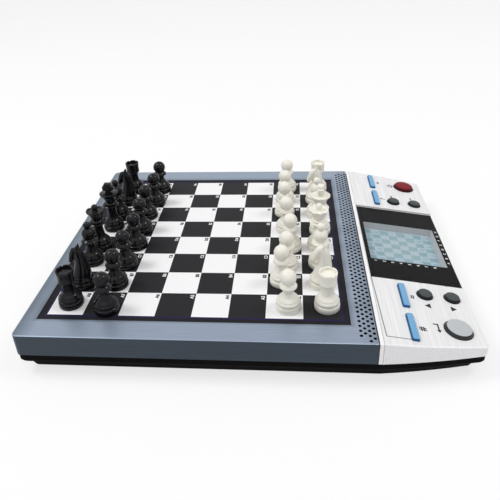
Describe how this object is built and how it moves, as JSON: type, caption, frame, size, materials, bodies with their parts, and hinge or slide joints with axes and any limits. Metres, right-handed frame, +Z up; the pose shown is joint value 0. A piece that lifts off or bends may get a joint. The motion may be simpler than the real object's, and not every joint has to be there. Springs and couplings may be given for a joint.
{
  "type": "electronic chess computer",
  "caption": "Tabletop chess computer: framed sensor board with a full set of turned chessmen, and a sloping silver control panel with a display window and sprung keys.",
  "frame": {"origin": "middle of the footprint, on the table under the rubber feet", "axes": "+X from the black men to the control panel, +Y from file a to file h, +Z up"},
  "size_m": [0.3064, 0.2472, 0.074],
  "materials": {
    "case_black": "fine textured satin",
    "frame_blue_grey": "metallic paint, satin",
    "panel_silver": "brushed silver paint",
    "trim_silver": "polished",
    "board_print": "printed film, satin",
    "window_clear": "clear, polished",
    "display": "polished",
    "circuit": "lacquered",
    "keypad_rubber": "matt",
    "speaker_dark": "matt",
    "battery_sleeve": "satin",
    "contact_steel": "plated",
    "foot_rubber": "matt",
    "key_blue": "translucent, satin",
    "key_dark": "satin",
    "key_grey": "satin",
    "key_red": "satin",
    "men_ivory": "satin",
    "men_black": "polished"
  },
  "bodies": {
    "case": {"battery_cells": "battery_sleeve", "battery_contacts": "contact_steel", "board_panel": "board_print", "bottom_case": "case_black", "case_screws": "contact_steel", "control_panel": "panel_silver", "display_window": "window_clear", "keypad_mat": "keypad_rubber", "lcd_module": "display", "main_board": "circuit", "rubber_feet": "foot_rubber", "seam_trim": "trim_silver", "sensor_board": "circuit", "speaker": "speaker_dark", "top_frame": "frame_blue_grey"},
    "arrow_key_far_left": {"arrow_key_far_left": "key_dark"},
    "arrow_key_far_right": {"arrow_key_far_right": "key_dark"},
    "arrow_key_near_left": {"arrow_key_near_left": "key_dark"},
    "arrow_key_near_right": {"arrow_key_near_right": "key_dark"},
    "bar_key_far_inner": {"bar_key_far_inner": "key_blue"},
    "bar_key_far_outer": {"bar_key_far_outer": "key_blue"},
    "bar_key_near_inner": {"bar_key_near_inner": "key_blue"},
    "bar_key_near_outer": {"bar_key_near_outer": "key_blue"},
    "enter_key": {"enter_key": "key_grey"},
    "power_key": {"power_key": "key_red"},
    "black_bishop_c": {"black_bishop_c": "men_black"},
    "black_bishop_f": {"black_bishop_f": "men_black"},
    "black_king": {"black_king": "men_black"},
    "black_knight_b": {"black_knight_b": "men_black"},
    "black_knight_g": {"black_knight_g": "men_black"},
    "black_pawn_a": {"black_pawn_a": "men_black"},
    "black_pawn_b": {"black_pawn_b": "men_black"},
    "black_pawn_c": {"black_pawn_c": "men_black"},
    "black_pawn_d": {"black_pawn_d": "men_black"},
    "black_pawn_e": {"black_pawn_e": "men_black"},
    "black_pawn_f": {"black_pawn_f": "men_black"},
    "black_pawn_g": {"black_pawn_g": "men_black"},
    "black_pawn_h": {"black_pawn_h": "men_black"},
    "black_queen": {"black_queen": "men_black"},
    "black_rook_a": {"black_rook_a": "men_black"},
    "black_rook_h": {"black_rook_h": "men_black"},
    "white_bishop_c": {"white_bishop_c": "men_ivory"},
    "white_bishop_f": {"white_bishop_f": "men_ivory"},
    "white_king": {"white_king": "men_ivory"},
    "white_knight_b": {"white_knight_b": "men_ivory"},
    "white_knight_g": {"white_knight_g": "men_ivory"},
    "white_pawn_a": {"white_pawn_a": "men_ivory"},
    "white_pawn_b": {"white_pawn_b": "men_ivory"},
    "white_pawn_c": {"white_pawn_c": "men_ivory"},
    "white_pawn_d": {"white_pawn_d": "men_ivory"},
    "white_pawn_e": {"white_pawn_e": "men_ivory"},
    "white_pawn_f": {"white_pawn_f": "men_ivory"},
    "white_pawn_g": {"white_pawn_g": "men_ivory"},
    "white_pawn_h": {"white_pawn_h": "men_ivory"},
    "white_queen": {"white_queen": "men_ivory"},
    "white_rook_a": {"white_rook_a": "men_ivory"},
    "white_rook_h": {"white_rook_h": "men_ivory"},
    "battery_door": {"battery_door": "case_black"}
  },
  "joints": [
    {"name": "arrow_key_far_left_press", "type": "slide", "parent": "case", "child": "arrow_key_far_left", "axis": [-0.1485, 0, -0.9889], "range_m": [0, 0.0012], "stiffness_N_per_m": 300},
    {"name": "arrow_key_far_right_press", "type": "slide", "parent": "case", "child": "arrow_key_far_right", "axis": [-0.1485, 0, -0.9889], "range_m": [0, 0.0012], "stiffness_N_per_m": 300},
    {"name": "arrow_key_near_left_press", "type": "slide", "parent": "case", "child": "arrow_key_near_left", "axis": [-0.1485, 0, -0.9889], "range_m": [0, 0.0012], "stiffness_N_per_m": 300},
    {"name": "arrow_key_near_right_press", "type": "slide", "parent": "case", "child": "arrow_key_near_right", "axis": [-0.1485, 0, -0.9889], "range_m": [0, 0.0012], "stiffness_N_per_m": 300},
    {"name": "bar_key_far_inner_press", "type": "slide", "parent": "case", "child": "bar_key_far_inner", "axis": [-0.1485, 0, -0.9889], "range_m": [0, 0.0012], "stiffness_N_per_m": 300},
    {"name": "bar_key_far_outer_press", "type": "slide", "parent": "case", "child": "bar_key_far_outer", "axis": [-0.1485, 0, -0.9889], "range_m": [0, 0.0012], "stiffness_N_per_m": 300},
    {"name": "bar_key_near_inner_press", "type": "slide", "parent": "case", "child": "bar_key_near_inner", "axis": [-0.1485, 0, -0.9889], "range_m": [0, 0.0012], "stiffness_N_per_m": 300},
    {"name": "bar_key_near_outer_press", "type": "slide", "parent": "case", "child": "bar_key_near_outer", "axis": [-0.1485, 0, -0.9889], "range_m": [0, 0.0012], "stiffness_N_per_m": 300},
    {"name": "enter_key_press", "type": "slide", "parent": "case", "child": "enter_key", "axis": [-0.1485, 0, -0.9889], "range_m": [0, 0.0012], "stiffness_N_per_m": 300},
    {"name": "power_key_press", "type": "slide", "parent": "case", "child": "power_key", "axis": [-0.1485, 0, -0.9889], "range_m": [0, 0.0012], "stiffness_N_per_m": 300},
    {"name": "black_bishop_c_lift", "type": "slide", "parent": "case", "child": "black_bishop_c", "axis": [0, 0, 1], "range_m": [0, 0.05]},
    {"name": "black_bishop_f_lift", "type": "slide", "parent": "case", "child": "black_bishop_f", "axis": [0, 0, 1], "range_m": [0, 0.05]},
    {"name": "black_king_lift", "type": "slide", "parent": "case", "child": "black_king", "axis": [0, 0, 1], "range_m": [0, 0.05]},
    {"name": "black_knight_b_lift", "type": "slide", "parent": "case", "child": "black_knight_b", "axis": [0, 0, 1], "range_m": [0, 0.05]},
    {"name": "black_knight_g_lift", "type": "slide", "parent": "case", "child": "black_knight_g", "axis": [0, 0, 1], "range_m": [0, 0.05]},
    {"name": "black_pawn_a_lift", "type": "slide", "parent": "case", "child": "black_pawn_a", "axis": [0, 0, 1], "range_m": [0, 0.05]},
    {"name": "black_pawn_b_lift", "type": "slide", "parent": "case", "child": "black_pawn_b", "axis": [0, 0, 1], "range_m": [0, 0.05]},
    {"name": "black_pawn_c_lift", "type": "slide", "parent": "case", "child": "black_pawn_c", "axis": [0, 0, 1], "range_m": [0, 0.05]},
    {"name": "black_pawn_d_lift", "type": "slide", "parent": "case", "child": "black_pawn_d", "axis": [0, 0, 1], "range_m": [0, 0.05]},
    {"name": "black_pawn_e_lift", "type": "slide", "parent": "case", "child": "black_pawn_e", "axis": [0, 0, 1], "range_m": [0, 0.05]},
    {"name": "black_pawn_f_lift", "type": "slide", "parent": "case", "child": "black_pawn_f", "axis": [0, 0, 1], "range_m": [0, 0.05]},
    {"name": "black_pawn_g_lift", "type": "slide", "parent": "case", "child": "black_pawn_g", "axis": [0, 0, 1], "range_m": [0, 0.05]},
    {"name": "black_pawn_h_lift", "type": "slide", "parent": "case", "child": "black_pawn_h", "axis": [0, 0, 1], "range_m": [0, 0.05]},
    {"name": "black_queen_lift", "type": "slide", "parent": "case", "child": "black_queen", "axis": [0, 0, 1], "range_m": [0, 0.05]},
    {"name": "black_rook_a_lift", "type": "slide", "parent": "case", "child": "black_rook_a", "axis": [0, 0, 1], "range_m": [0, 0.05]},
    {"name": "black_rook_h_lift", "type": "slide", "parent": "case", "child": "black_rook_h", "axis": [0, 0, 1], "range_m": [0, 0.05]},
    {"name": "white_bishop_c_lift", "type": "slide", "parent": "case", "child": "white_bishop_c", "axis": [0, 0, 1], "range_m": [0, 0.05]},
    {"name": "white_bishop_f_lift", "type": "slide", "parent": "case", "child": "white_bishop_f", "axis": [0, 0, 1], "range_m": [0, 0.05]},
    {"name": "white_king_lift", "type": "slide", "parent": "case", "child": "white_king", "axis": [0, 0, 1], "range_m": [0, 0.05]},
    {"name": "white_knight_b_lift", "type": "slide", "parent": "case", "child": "white_knight_b", "axis": [0, 0, 1], "range_m": [0, 0.05]},
    {"name": "white_knight_g_lift", "type": "slide", "parent": "case", "child": "white_knight_g", "axis": [0, 0, 1], "range_m": [0, 0.05]},
    {"name": "white_pawn_a_lift", "type": "slide", "parent": "case", "child": "white_pawn_a", "axis": [0, 0, 1], "range_m": [0, 0.05]},
    {"name": "white_pawn_b_lift", "type": "slide", "parent": "case", "child": "white_pawn_b", "axis": [0, 0, 1], "range_m": [0, 0.05]},
    {"name": "white_pawn_c_lift", "type": "slide", "parent": "case", "child": "white_pawn_c", "axis": [0, 0, 1], "range_m": [0, 0.05]},
    {"name": "white_pawn_d_lift", "type": "slide", "parent": "case", "child": "white_pawn_d", "axis": [0, 0, 1], "range_m": [0, 0.05]},
    {"name": "white_pawn_e_lift", "type": "slide", "parent": "case", "child": "white_pawn_e", "axis": [0, 0, 1], "range_m": [0, 0.05]},
    {"name": "white_pawn_f_lift", "type": "slide", "parent": "case", "child": "white_pawn_f", "axis": [0, 0, 1], "range_m": [0, 0.05]},
    {"name": "white_pawn_g_lift", "type": "slide", "parent": "case", "child": "white_pawn_g", "axis": [0, 0, 1], "range_m": [0, 0.05]},
    {"name": "white_pawn_h_lift", "type": "slide", "parent": "case", "child": "white_pawn_h", "axis": [0, 0, 1], "range_m": [0, 0.05]},
    {"name": "white_queen_lift", "type": "slide", "parent": "case", "child": "white_queen", "axis": [0, 0, 1], "range_m": [0, 0.05]},
    {"name": "white_rook_a_lift", "type": "slide", "parent": "case", "child": "white_rook_a", "axis": [0, 0, 1], "range_m": [0, 0.05]},
    {"name": "white_rook_h_lift", "type": "slide", "parent": "case", "child": "white_rook_h", "axis": [0, 0, 1], "range_m": [0, 0.05]},
    {"name": "battery_door_release", "type": "slide", "parent": "case", "child": "battery_door", "axis": [0, 0, -1], "range_m": [0, 0.03]}
  ]
}
